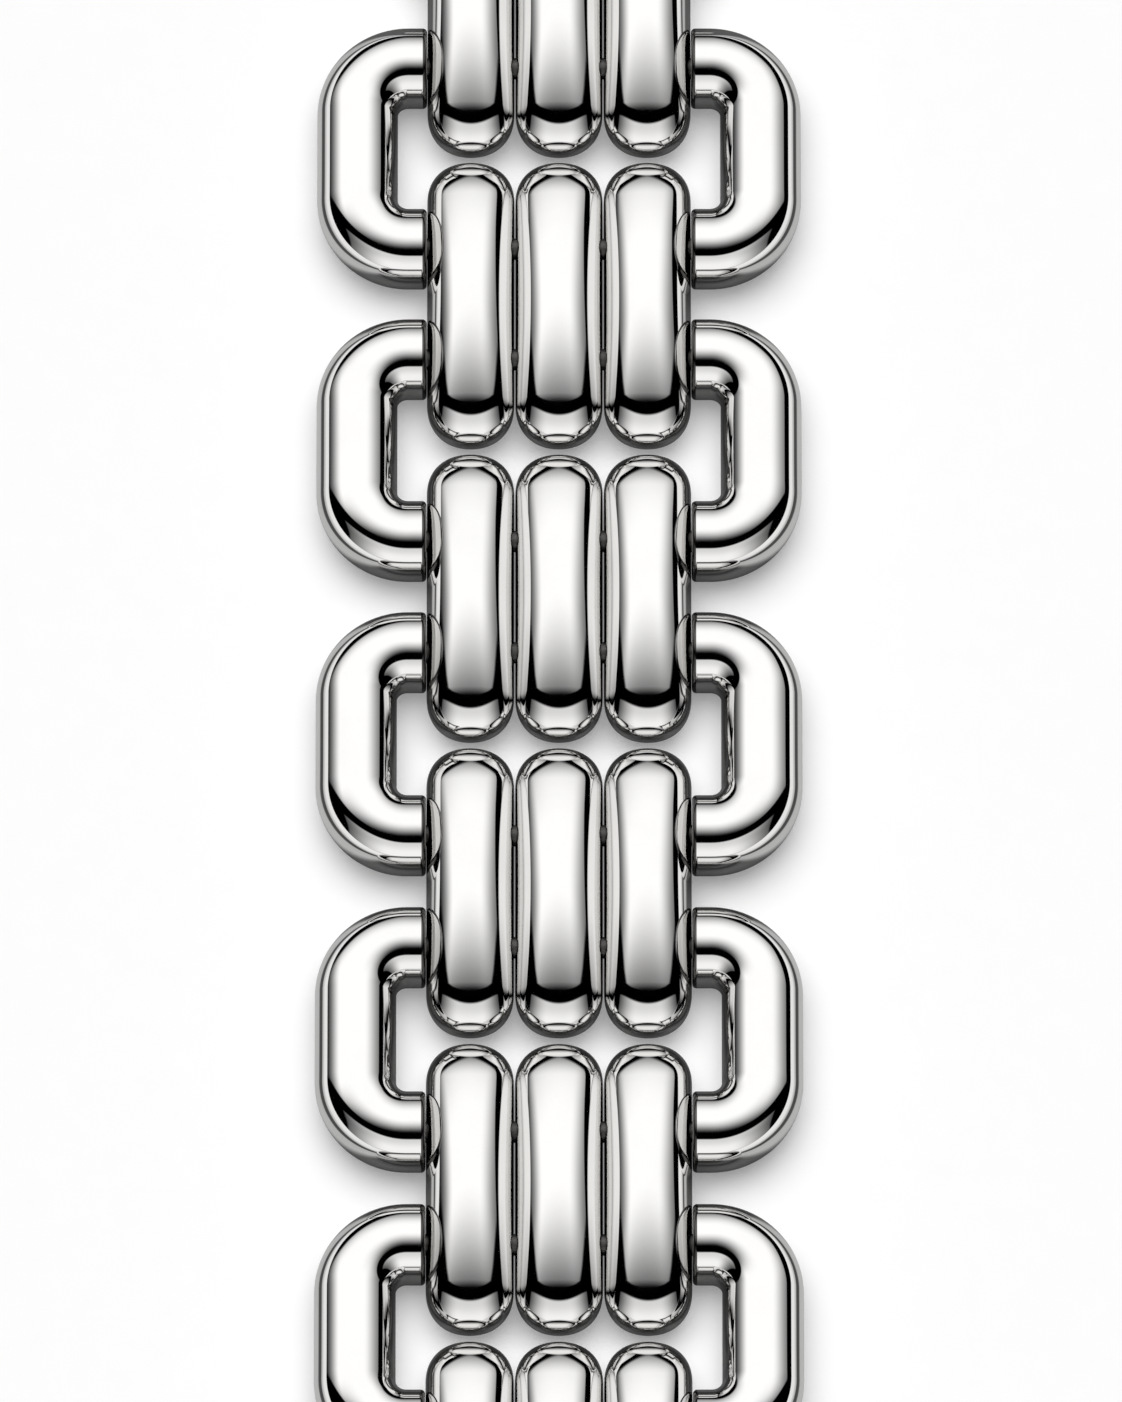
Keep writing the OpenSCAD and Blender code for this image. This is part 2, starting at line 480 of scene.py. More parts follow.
def rod(bm, diameter, low_x, high_x, y, z, chamfer=0.0, segments=48):
    """A closed round rod along X."""
    made = bmesh.ops.create_cone(
        bm,
        cap_ends=True,
        segments=segments,
        radius1=diameter / 2,
        radius2=diameter / 2,
        depth=high_x - low_x,
    )["verts"]
    bmesh.ops.rotate(bm, verts=made, matrix=Matrix.Rotation(math.radians(90), 3, "Y"))
    bmesh.ops.translate(bm, verts=made, vec=((low_x + high_x) / 2, y, z))
    if chamfer:
        edges = {edge for vert in made for edge in vert.link_edges}
        rims = [e for e in edges if abs(e.verts[0].co.x - e.verts[1].co.x) < ACROSS]
        bmesh.ops.bevel(
            bm, geom=rims, offset=chamfer, affect="EDGES", segments=2, profile=0.5, material=-1
        )


def combined(solid, tool, operation):
    """Cuts one closed mesh from another, or joins them, and returns the outcome."""
    objects = []
    for bm in (solid, tool):
        mesh = bpy.data.meshes.new("work")
        bm.to_mesh(mesh)
        bm.free()
        made = bpy.data.objects.new("work", mesh)
        bpy.context.scene.collection.objects.link(made)
        objects.append(made)
    modifier = objects[0].modifiers.new("Join or cut", "BOOLEAN")
    modifier.operation = operation
    modifier.solver = "EXACT"
    modifier.object = objects[1]
    outcome = bmesh.new()
    outcome.from_object(objects[0], bpy.context.evaluated_depsgraph_get())
    for made in objects:
        mesh = made.data
        bpy.data.objects.remove(made)
        bpy.data.meshes.remove(mesh)
    if not outcome.faces:
        raise RuntimeError(f"the {operation.lower()} left nothing")
    return outcome


def placed(bm, centre, sign=1):
    """Mirrors a right-hand shape if sign is -1, and moves it from the origin to its centre."""
    bmesh.ops.scale(bm, vec=(sign, 1, 1), verts=bm.verts[:])
    bmesh.ops.translate(bm, verts=bm.verts[:], vec=centre)
    return bm


def finished(bm, name, node, slot, *materials):
    """Closes and smooths one piece, brings it to metres and lets it ride with its node's body."""
    closed(bm)
    limit = math.radians(CREASE)
    for face in bm.faces:
        face.smooth = True
    for edge in bm.edges:
        edge.smooth = edge.calc_face_angle(0.0) < limit
    bmesh.ops.scale(bm, vec=(MM, MM, MM), verts=bm.verts[:])
    mesh = bpy.data.meshes.new(name)
    bm.to_mesh(mesh)
    bm.free()
    for material in materials:
        mesh.materials.append(material)
    piece = bpy.data.objects.new(name, mesh)
    bpy.context.scene.collection.objects.link(piece)
    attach(piece, body_of_node(node))
    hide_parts(node)
    return piece


# Shapes

# Barrel: steps along half of its straight part, and round a quarter of its end
BODY_STEPS = 8
CAP_STEPS = 24
# How quickly the dome's fall grows from a barrel's underside to its crest
DOME_POWER = 1.5
# How far a cutting rod reaches to each side, in barrel radii
BORE_REACH = 1.2
# Shares of a barrel's radius below this count as none
NO_SHARE = 0.001

# C link: steps round a corner and along the back, and round a leg's lip
CORNER_STEPS = 26
BACK_STEPS = 4
LIP_STEPS = 6
# Where the edge loop behind a leg's lip lies, in lip radii
BEHIND_LIP = 1.3
# Faces of the lip that look along the leg by more than this keep the polish, and the others are painted
# dark as the shade in the gap to the barrel
ALONG_LEG = 0.95

# Spring bar: space round a tip in the tube's mouth, in millimetres
MOUTH_SPACE = 0.04
# Rounding of a tube's rim and of a tip's nose, in roundings, and their steps
TUBE_RIM = (2, 5)
NOSE_RIM = (2.5, 6)
# Facets round the spring's wire, and steps in each of its turns
WIRE_SIDES = 10
COIL_STEPS = 24

# CAD copies: points closer than this are one, in millimetres, and faces flatter than this
# in degrees are one
CAD_WELD = 0.001
CAD_FLAT = 0.5


def barrel(sizes_mm, bores):
    """One round-ended barrel along Y about the origin, with cross bores as (y, z, diameter)."""
    radius = sizes_mm["diameter"] / 2
    reach = sizes_mm["length"] / 2
    half = reach - radius
    bm = bmesh.new()
    point = bm.verts.new((radius, 0, 0))
    for _ in range(BODY_STEPS):
        made = bmesh.ops.extrude_vert_indiv(bm, verts=[point])["verts"]
        bmesh.ops.translate(bm, verts=made, vec=(0, half / BODY_STEPS, 0))
        point = made[0]
    bmesh.ops.spin(
        bm,
        geom=[point],
        cent=(0, half, 0),
        axis=(0, 0, 1),
        angle=math.pi / 2,
        steps=CAP_STEPS,
        use_merge=False,
    )
    bmesh.ops.mirror(bm, geom=bm.verts[:] + bm.edges[:], axis="Y", merge_dist=WELD)
    full_turn(bm, (0, 1, 0), sizes_mm["segments"])
    bmesh.ops.remove_doubles(bm, verts=bm.verts[:], dist=WELD)
    # Blunter ends than half balls: each cap's quarter circle becomes a quarter superellipse
    power = 2 / sizes_mm["bluntness"]
    for vert in bm.verts:
        past = (abs(vert.co.y) - half) / radius
        if past > NO_SHARE:
            out = math.sqrt(max(1 - past * past, 0))
            wider = out ** (power - 1) if out > NO_SHARE else 1
            vert.co.x *= wider
            vert.co.z *= wider
            vert.co.y = math.copysign(half + radius * past ** power, vert.co.y)
    # The 12 o'clock end moves out and the other one stays
    stretch = (2 * reach + sizes_mm["far_end"]) / (2 * reach)
    bmesh.ops.scale(bm, vec=(1, stretch, 1), verts=bm.verts[:])
    bmesh.ops.translate(bm, vec=(0, sizes_mm["far_end"] / 2, 0), verts=bm.verts[:])
    # The sides stay parallel while the top falls towards its ends along a long arc
    for vert in bm.verts:
        drop = vert.co.y ** 2 / (2 * sizes_mm["dome_radius"])
        share = max(vert.co.z + radius, 0) / (2 * radius)
        vert.co.z -= drop * share ** DOME_POWER
    bmesh.ops.recalc_face_normals(bm, faces=bm.faces[:])
    tool = bmesh.new()
    for y, z, diameter in bores:
        rod(tool, diameter, -radius * BORE_REACH, radius * BORE_REACH, y, z)
    return combined(bm, tool, "DIFFERENCE")


def c_link(link, start_x, end_x, half_span, pin_half):
    """A right-hand C link about y = 0 and z = 0, its two legs towards the barrels."""
    bm = bmesh.new()
    radius = link["diameter"] / 2
    bend = link["bend_radius"]
    lip = link["lip"]
    corner_x = end_x - radius - bend
    ring = bmesh.ops.create_circle(
        bm, cap_ends=False, segments=link["segments"], radius=radius
    )["verts"]
    bmesh.ops.rotate(bm, verts=ring, matrix=Matrix.Rotation(math.radians(90), 3, "Y"))
    bmesh.ops.translate(bm, verts=ring, vec=(start_x, half_span, 0))
    first = list({edge for vert in ring for edge in vert.link_edges})
    support = lip * BEHIND_LIP
    edges = push(bm, first, (support, 0, 0))
    edges = push(bm, edges, (corner_x - start_x - support, 0, 0))
    edges = turn(bm, edges, (corner_x, half_span - bend, 0), (0, 0, -1), 90, CORNER_STEPS)
    for _ in range(BACK_STEPS):
        edges = push(bm, edges, (0, -2 * (half_span - bend) / BACK_STEPS, 0))
    edges = turn(bm, edges, (corner_x, bend - half_span, 0), (0, 0, -1), 90, CORNER_STEPS)
    edges = push(bm, edges, (start_x + support - corner_x, 0, 0))
    last = push(bm, edges, (-support, 0, 0))
    # Each leg ends in a flat ring round the blind hole of its pin
    depth = pin_half + link["hole_space"] - start_x
    face_radius = radius - support
    for rim, y in ((first, half_span), (last, -half_span)):
        inner = swell(bm, rim, (start_x, y, 0), face_radius / radius)
        inner = swell(bm, inner, (start_x, y, 0), link["pin_diameter"] / 2 / face_radius)
        bottom = push(bm, inner, (depth, 0, 0))
        bmesh.ops.contextual_create(bm, geom=bottom)
    rounded = bmesh.ops.bevel(
        bm,
        geom=first + last,
        offset=lip,
        affect="EDGES",
        segments=LIP_STEPS,
        profile=0.5,
        material=-1,
    )
    # The rounded lip is painted dark: painted shade for the dark gap between the leg and the barrel
    for face in rounded["faces"]:
        face.normal_update()
        face.material_index = int(abs(face.normal.x) < ALONG_LEG)
    return bm


def spring_tube(bar, half, diameter):
    """A tube along X, open at both ends inside a rolled lip."""
    outer = diameter / 2
    bore = outer - bar["wall"]
    mouth = bar["tip_diameter"] / 2 + MOUTH_SPACE
    inside = half - bar["lip"]
    profile = [(0, bore), (inside, bore), (inside, mouth), (half, mouth), (half, outer), (0, outer)]
    bm = turned(profile, mirrored=True)
    size, steps = TUBE_RIM
    round_rims(bm, [(half, outer), (-half, outer)], bar["rounding"] * size, steps)
    return bm


def spring_tip(bar, start, side, end, head_diameter, flange_diameter):
    """A right-hand tip: head, shank, flange flush with the row's side, and a rounded nose."""
    head = head_diameter / 2
    shank = bar["tip_diameter"] / 2
    flange = flange_diameter / 2
    shoulder = start + bar["head"]
    inner = side - bar["flange"]
    bm = turned(
        [
            (start, 0),
            (start, head),
            (shoulder, head),
            (shoulder, shank),
            (inner, shank),
            (inner, flange),
            (side, flange),
            (side, shank),
            (end, shank),
            (end, 0),
        ]
    )
    size, steps = NOSE_RIM
    round_rims(bm, [(end, shank)], bar["rounding"] * size, steps)
    rims = [(start, head), (shoulder, head), (inner, flange), (side, flange)]
    round_rims(bm, rims, bar["rounding"])
    return bm


def coil(bar, length, outer_diameter):
    """Half of a coil spring, from x = 0 outwards."""
    wire = bar["wire"]
    bm = bmesh.new()
    ring = bmesh.ops.create_circle(bm, cap_ends=False, segments=WIRE_SIDES, radius=wire / 2)["verts"]
    bmesh.ops.translate(bm, verts=ring, vec=(wire / 2, (outer_diameter - wire) / 2, 0))
    first = bm.edges[:]
    count = bar["turns"] * COIL_STEPS
    last = bmesh.ops.spin(
        bm,
        geom=ring + first,
        cent=(0, 0, 0),
        axis=(1, 0, 0),
        dvec=((length - wire) / count, 0, 0),
        angle=math.tau * bar["turns"],
        steps=count,
        use_merge=False,
    )["geom_last"]
    bmesh.ops.contextual_create(bm, geom=first)
    bmesh.ops.contextual_create(bm, geom=edges_of(last))
    return bm


def edged_copy(node, width):
    """A copy of a CAD node's solid, merged, with a small rounding along its sharp edges."""
    bm = bmesh.new()
    bm.from_mesh(frame["nodes"][node].data)
    bmesh.ops.scale(bm, vec=(1 / MM, 1 / MM, 1 / MM), verts=bm.verts[:])
    bmesh.ops.remove_doubles(bm, verts=bm.verts[:], dist=CAD_WELD)
    bmesh.ops.dissolve_limit(
        bm, angle_limit=math.radians(CAD_FLAT), verts=bm.verts[:], edges=bm.edges[:]
    )
    sharp = [edge for edge in bm.edges if edge.calc_face_angle(0.0) > math.radians(CREASE)]
    bmesh.ops.bevel(
        bm,
        geom=sharp,
        offset=width,
        affect="EDGES",
        segments=2,
        profile=0.5,
        material=-1,
        clamp_overlap=True,
    )
    return bm


# Shader helpers


def cleared(owner):
    """The emptied node tree of a material or world."""
    owner.use_nodes = True
    owner.node_tree.nodes.clear()
    return owner.node_tree


def add_node(tree, kind, **values):
    made = tree.nodes.new(kind)
    for name, value in values.items():
        setattr(made, name, value)
    return made


def spread(tree):
    """Lays the nodes out in the order in which they were made, six to a column."""
    for index, node in enumerate(tree.nodes):
        node.location = (260 * (index // 6), -220 * (index % 6))


def plug(tree, socket, value):
    """Sets a socket to a number, or links it to another socket."""
    if isinstance(value, (int, float)):
        socket.default_value = value
    else:
        tree.links.new(value, socket)


def calc(tree, operation, *values):
    made = add_node(tree, "ShaderNodeMath", operation=operation)
    for socket, value in zip(made.inputs, values):
        plug(tree, socket, value)
    return made.outputs[0]


def times(tree, first, *others):
    for other in others:
        first = calc(tree, "MULTIPLY", first, other)
    return first


def fade(tree, value, low, high, start=0.0, end=1.0, kind="SMOOTHSTEP"):
    """Eases from start to end while value goes from low to high."""
    made = add_node(tree, "ShaderNodeMapRange", interpolation_type=kind)
    tree.links.new(value, made.inputs["Value"])
    for label, number in (("From Min", low), ("From Max", high), ("To Min", start), ("To Max", end)):
        made.inputs[label].default_value = number
    return made.outputs["Result"]


def choose(tree, factor, first, second):
    """The first value where factor is 0 and the second where it is 1."""
    made = add_node(tree, "ShaderNodeMix", data_type="FLOAT")
    for index, value in ((0, factor), (2, first), (3, second)):
        plug(tree, made.inputs[index], value)
    return made.outputs[0]


def tinted(tree, colour, value):
    """A colour times a grey value."""
    made = add_node(tree, "ShaderNodeMix", data_type="RGBA", blend_type="MULTIPLY")
    made.inputs["Factor"].default_value = 1.0
    made.inputs[6].default_value = (*colour, 1)
    tree.links.new(value, made.inputs[7])
    return made.outputs[2]


def noise(tree, place, **values):
    made = add_node(tree, "ShaderNodeTexNoise")
    for label, value in values.items():
        made.inputs[label].default_value = value
    tree.links.new(place, made.inputs["Vector"])
    return made.outputs["Fac"]


# Materials

# How finely the hairlines repeat along x, y and z, per metre
GRAIN_ALONG_Y = (9000, 260, 9000)
GRAIN_ROUND_X = (9000, 60, 60)
# Smears: how many there are a metre, where the noise turns into a smear, and their tone
SMEARS_PER_METRE = 420.0
SMEAR_STARTS = 0.45
SMEAR_FULL = 0.75
SMEAR_TONE = 0.94


def polish_marks():
    """Shader group: hairlines and faint smears that a polished metal carries."""
    name = "Polish marks"
    if name in bpy.data.node_groups:
        return bpy.data.node_groups[name]
    group = bpy.data.node_groups.new(name, "ShaderNodeTree")
    face = group.interface
    for label, value in (("Hairlines", 0.5), ("Smears", 0.5), ("Roughness", 0.03)):
        socket = face.new_socket(label, in_out="INPUT", socket_type="NodeSocketFloat")
        socket.default_value = value
    face.new_socket("Grain", in_out="INPUT", socket_type="NodeSocketVector")
    for label in ("Roughness", "Height", "Tone"):
        face.new_socket(label, in_out="OUTPUT", socket_type="NodeSocketFloat")
    start = add_node(group, "NodeGroupInput")
    end = add_node(group, "NodeGroupOutput")
    link = group.links.new
    place = add_node(group, "ShaderNodeTexCoord").outputs["Object"]
    stretch = add_node(group, "ShaderNodeMapping")
    link(start.outputs["Grain"], stretch.inputs["Scale"])
    link(place, stretch.inputs["Vector"])
    lines = noise(group, stretch.outputs["Vector"], Scale=1.0, Detail=4.0)
    spots = noise(group, place, Scale=SMEARS_PER_METRE, Detail=5.0, Roughness=0.6)
    soft = fade(group, spots, SMEAR_STARTS, SMEAR_FULL, kind="LINEAR")
    hair = calc(group, "MULTIPLY", lines, start.outputs["Hairlines"])
    smear = calc(group, "MULTIPLY", soft, start.outputs["Smears"])
    both = calc(group, "ADD", hair, smear)
    base = start.outputs["Roughness"]
    link(calc(group, "MULTIPLY_ADD", both, base, base), end.inputs["Roughness"])
    link(hair, end.inputs["Height"])
    link(fade(group, smear, 0.0, 1.0, 1.0, SMEAR_TONE, kind="LINEAR"), end.inputs["Tone"])
    spread(group)
    return group


def steel(name, colour, roughness, hairlines, smears, depth_mm, grain=GRAIN_ALONG_Y):
    """A metal whose polish marks come from the shared group."""
    if name in bpy.data.materials:
        return bpy.data.materials[name]
    material = bpy.data.materials.new(name)
    tree = cleared(material)
    link = tree.links.new
    marks = add_node(tree, "ShaderNodeGroup", node_tree=polish_marks())
    marks.inputs["Hairlines"].default_value = hairlines
    marks.inputs["Smears"].default_value = smears
    marks.inputs["Roughness"].default_value = roughness
    marks.inputs["Grain"].default_value = grain
    bump = add_node(tree, "ShaderNodeBump")
    bump.inputs["Strength"].default_value = 1.0
    bump.inputs["Distance"].default_value = depth_mm * MM
    link(marks.outputs["Height"], bump.inputs["Height"])
    shader = add_node(tree, "ShaderNodeBsdfPrincipled")
    shader.inputs["Metallic"].default_value = 1.0
    link(tinted(tree, colour, marks.outputs["Tone"]), shader.inputs["Base Color"])
    link(marks.outputs["Roughness"], shader.inputs["Roughness"])
    link(bump.outputs["Normal"], shader.inputs["Normal"])
    out = add_node(tree, "ShaderNodeOutputMaterial")
    link(shader.outputs["BSDF"], out.inputs["Surface"])
    spread(tree)
    return material


def polished_steel():
    look = sizes("steel")
    return steel(
        "Mirror polished steel",
        look.polished_colour,
        look.polished_roughness,
        hairlines=0.2,
        smears=0.5,
        depth_mm=0.00002,
    )


def gap_shade_steel():
    """Painted shade: the dark line round the lip of a C link's leg, standing in for the dark gap to the
    barrel.
    """
    colour = sizes("steel").gap_shade_colour
    return steel(
        "Painted gap shade", colour, roughness=0.12, hairlines=0.2, smears=0.5, depth_mm=0.00002
    )


def brushed_steel():
    colour = sizes("steel").brushed_colour
    return steel(
        "Brushed steel", colour, roughness=0.2, hairlines=0.8, smears=0.3, depth_mm=0.0006
    )


def turned_steel():
    return steel(
        "Turned steel",
        sizes("steel").turned_colour,
        roughness=0.14,
        hairlines=0.6,
        smears=0.3,
        depth_mm=0.0003,
        grain=GRAIN_ROUND_X,
    )


def pin_steel():
    """Link pins, painted near black as painted shade, so that they stay as dark as the gaps between the
    barrels.
    """
    return steel(
        "Link pins painted as gap shade",
        sizes("steel").gap_shade_colour,
        roughness=0.35,
        hairlines=0.6,
        smears=0.5,
        depth_mm=0.0003,
        grain=GRAIN_ROUND_X,
    )


def spring_wire():
    colour = sizes("steel").wire_colour
    return steel(
        "Drawn spring wire", colour, roughness=0.22, hairlines=0.6, smears=0.4, depth_mm=0.0003
    )


# Studio

# Where the camera looks, in millimetres, and how tall the view is there
LOOK_AT = Vector((0.074, 43.835, 1.62))
VIEW_HEIGHT = 51.87
ELEVATION = math.radians(70)
SENSOR = 36.0

# Half the floor's width and how far below the bracelet it lies, in metres
FLOOR_HALF = 6.0
FLOOR_BELOW = 0.00001
# How finely the floor's grain repeats per metre, and how much it changes the tone
FLOOR_GRAIN = 900.0
FLOOR_TONES = (0.99, 1.01)

# The floor that metal mirrors carries a painted shadow, in metres from the bracelet's middle line: where
# its darkest part under the bracelet ends, and where the part beside it grows to its full brightness
UNDER_ENDS = (0.008, 0.0095)
BESIDE_GROWS = (0.014, 0.028)
BESIDE_START = 0.55
BESIDE_GAIN = 0.45
# A painted dark band on the floor along each side, seen only in the metal as a painted dark reflection:
# its inner and outer edge, and what it takes away
SHADE_BAND_INNER = (0.0115, 0.0125)
SHADE_BAND_OUTER = (0.015, 0.017)
SHADE_BAND_TAKES = 0.85

# The overhead panel's outline, on a ball of radius 1 round the bracelet, and its soft edge
PANEL_HALF_WIDTH = 0.955
PANEL_MIDDLE_Y = 0.3
PANEL_HALF_LENGTH = 0.69
PANEL_POWER = 1.6
PANEL_EDGE = (0.96, 1.02)
# Degrees by which the front panel's top edge rises at the far left and right
FRONT_BOW = 22.0
# Where the key light comes from, and the cosines between which it grows to its full strength
KEY_AIM = Vector((-0.04, 0.22, 1)).normalized()
KEY_SPREAD = (0.75, 0.99)


def make_camera(lens):
    data = bpy.data.cameras.new("Camera")
    data.lens = lens
    data.sensor_width = SENSOR
    camera = bpy.data.objects.new("Camera", data)
    bpy.context.scene.collection.objects.link(camera)
    back = Vector((0, -math.cos(ELEVATION), math.sin(ELEVATION)))
    distance = VIEW_HEIGHT * lens / SENSOR
    camera.rotation_mode = "QUATERNION"
    camera.location = (LOOK_AT + back * distance) * MM
    camera.rotation_quaternion = (-back).to_track_quat("-Z", "Y")
    data.clip_start = 0.01
    data.clip_end = 100
    bpy.context.scene.camera = camera


def floor_material(look):
    """White to the eye with soft shadows, and greyer beside the bracelet where metal mirrors it: a
    painted shadow that only the metal shows.
    """
    material = bpy.data.materials.new("White floor")
    tree = cleared(material)
    link = tree.links.new
    place = add_node(tree, "ShaderNodeTexCoord").outputs["Object"]
    tone = fade(tree, noise(tree, place, Scale=FLOOR_GRAIN), 0.0, 1.0, *FLOOR_TONES)
    rays = add_node(tree, "ShaderNodeLightPath").outputs
    split = add_node(tree, "ShaderNodeSeparateXYZ")
    link(place, split.inputs[0])
    beside = calc(tree, "ABSOLUTE", split.outputs["X"])
    # Painted shadow: the floor darker near the bracelet's middle line, seen only by glossy rays
    painted_shadow = fade(tree, beside, *UNDER_ENDS, look.shadow_in_metal, BESIDE_START)
    painted_shadow = calc(tree, "ADD", painted_shadow, fade(tree, beside, *BESIDE_GROWS, 0.0, BESIDE_GAIN))
    # Painted dark band in the floor, which only the metal mirrors
    shade_band = times(tree, fade(tree, beside, *SHADE_BAND_INNER), fade(tree, beside, *SHADE_BAND_OUTER, 1.0, 0.0))
    painted_shadow = times(tree, painted_shadow, calc(tree, "MULTIPLY_ADD", shade_band, -SHADE_BAND_TAKES, 1.0))
    matt = add_node(tree, "ShaderNodeBsdfDiffuse")
    shade = choose(tree, rays["Is Glossy Ray"], tone, painted_shadow)
    link(tinted(tree, look.floor_colour, shade), matt.inputs["Color"])
    # The lift brightens the shadows for the eye, and in the metal only as far as the painted shadow lets
    # the floor show there
    seen = calc(tree, "MAXIMUM", rays["Is Camera Ray"], rays["Is Transmission Ray"])
    seen = calc(tree, "MAXIMUM", seen, times(tree, rays["Is Glossy Ray"], painted_shadow))
    lift = add_node(tree, "ShaderNodeEmission")
    link(times(tree, seen, look.floor_lift), lift.inputs["Strength"])
    both = add_node(tree, "ShaderNodeAddShader")
    link(matt.outputs[0], both.inputs[0])
    link(lift.outputs[0], both.inputs[1])
    out = add_node(tree, "ShaderNodeOutputMaterial")
    link(both.outputs[0], out.inputs["Surface"])
    spread(tree)
    return material


def make_floor(look):
    bm = bmesh.new()
    bmesh.ops.create_grid(bm, x_segments=1, y_segments=1, size=FLOOR_HALF)
    bmesh.ops.translate(bm, verts=bm.verts[:], vec=(0, 0, -FLOOR_BELOW))
    mesh = bpy.data.meshes.new("Floor")
    bm.to_mesh(mesh)
    bm.free()
    mesh.materials.append(floor_material(look))
    floor = bpy.data.objects.new("Floor", mesh)
    bpy.context.scene.collection.objects.link(floor)


def make_world(look):
    """A light tent: soft panels overhead and in front, and a bright band at the floor's far edge."""
    world = bpy.data.worlds.new("Light tent")
    bpy.context.scene.world = world
    tree = cleared(world)
    link = tree.links.new
    place = add_node(tree, "ShaderNodeTexCoord").outputs["Generated"]
    split = add_node(tree, "ShaderNodeSeparateXYZ")
    link(place, split.inputs[0])
    x, y, z = split.outputs
    side = calc(tree, "ABSOLUTE", x)
    # 0 degrees is straight up, 90 level towards 12 o'clock and -90 level towards the camera
    tilt = calc(tree, "DEGREES", calc(tree, "ARCTAN2", y, z))

    # Overhead panel: a rounded outline, and light that falls off softly towards each edge
    across = calc(tree, "POWER", calc(tree, "DIVIDE", side, PANEL_HALF_WIDTH), PANEL_POWER)
    along = calc(tree, "DIVIDE", calc(tree, "SUBTRACT", y, PANEL_MIDDLE_Y), PANEL_HALF_LENGTH)
    along = calc(tree, "POWER", calc(tree, "ABSOLUTE", along), PANEL_POWER)
    outline = calc(tree, "ADD", across, along)
    # It hangs higher over the right side than over the left
    lowest = times(tree, fade(tree, side, 0.2, 0.8), fade(tree, x, -0.1, 0.1, 0.05, 0.3))
    above = calc(tree, "SUBTRACT", z, lowest)
    panel = times(
        tree,
        fade(tree, outline, *PANEL_EDGE, 1.0, 0.0),
        fade(tree, above, 0.0, 0.03),
        fade(tree, tilt, 81, 84, 1.0, 0.0),
        fade(tree, tilt, -22, 18),
        fade(tree, tilt, 38, 100, 1.0, 0.0),
        fade(tree, x, -1.0, -0.66),
        fade(tree, x, 0.4, 1.1, 1.0, 0.0),
        look.overhead,
    )

    # Front panel: brightest at its foot, its top edge rising towards the sides
    bowed = calc(tree, "MULTIPLY_ADD", calc(tree, "POWER", side, 2.0), -FRONT_BOW, tilt)
    front = times(
        tree,
        fade(tree, tilt, -70, -42, 1.15, 0.85),
        fade(tree, bowed, -42, -38, 1.0, 0.0),
        fade(tree, tilt, -84, -81),
        fade(tree, side, 0.3, 1.0, 1.0, 0.0),
        fade(tree, side, 0.84, 0.87, 1.0, 0.0),
    )

    # The far edge of the white floor, and the tent's foot behind it
    height = calc(tree, "MULTIPLY_ADD", y, 0.05, z)
    far = times(tree, fade(tree, height, 0.05, 0.08, 1.0, 0.0), look.walls)
    tent = calc(tree, "MAXIMUM", calc(tree, "MAXIMUM", panel, front), far)

    # Matt surfaces get one soft key, high up and a little behind, which keeps their shadows short
    aim = add_node(tree, "ShaderNodeVectorMath", operation="DOT_PRODUCT")
    link(place, aim.inputs[0])
    aim.inputs[1].default_value = KEY_AIM
    key = fade(tree, aim.outputs["Value"], *KEY_SPREAD, 0.0, look.key)
    rays = add_node(tree, "ShaderNodeLightPath").outputs
    lit = choose(tree, rays["Is Glossy Ray"], key, tent)
    shade = add_node(tree, "ShaderNodeBackground")
    shade.inputs["Color"].default_value = (1, 1, 1, 1)
    link(choose(tree, rays["Is Camera Ray"], lit, 1.0), shade.inputs["Strength"])
    out = add_node(tree, "ShaderNodeOutputWorld")
    link(shade.outputs[0], out.inputs["Surface"])
    spread(tree)


# Operators


class BRACELET_OT_studio(bpy.types.Operator):
    """Camera, white floor and the light tent round the bracelet"""

    bl_idname = "bracelet.studio"
    bl_label = "Studio"

    def execute(self, context):
        look = sizes("studio")
        make_camera(look.lens)
        make_floor(look)
        make_world(look)
        context.scene.view_settings.view_transform = "Standard"
        return {"FINISHED"}


class BRACELET_OT_barrels(bpy.types.Operator):
    """Three polished barrels in every row, bored for their pins and spring bars"""

    bl_idname = "bracelet.barrels"
    bl_label = "Barrels"

    def execute(self, context):
        group = sizes("barrels")
        values = millimetres(
            group, "diameter", "length", "far_end", "dome_radius", "pin_bore", "bar_bore"
        )
        values["segments"] = group.segments
        values["bluntness"] = group.bluntness
        pin_z = middle("link_pins_02").z - values["diameter"] / 2
        half = ROW_PIN_SPAN / 2
        step = (ROW_SPAN.x - values["diameter"]) / 2
        pin = values["pin_bore"]
        bar = values["bar_bore"]
        kinds = {
            "plain": barrel(values, [(half, pin_z, pin), (-half, pin_z, pin)]),
            "first": barrel(values, [(half, pin_z, bar), (-half, pin_z, pin)]),
            "last": barrel(values, [(half, pin_z, pin), (-half, pin_z, bar)]),
        }
        metal = polished_steel()
        for node in ROWS:
            kind = "first" if node == ROWS[0] else "last" if node == ROWS[-1] else "plain"
            centre = middle(node)
            for side, x in (("left", -step), ("middle", 0), ("right", step)):
                piece = placed(kinds[kind].copy(), (x, centre.y, centre.z))
                finished(piece, node.replace("row", side), node, "polished_steel", metal)
        for bm in kinds.values():
            bm.free()
        return {"FINISHED"}


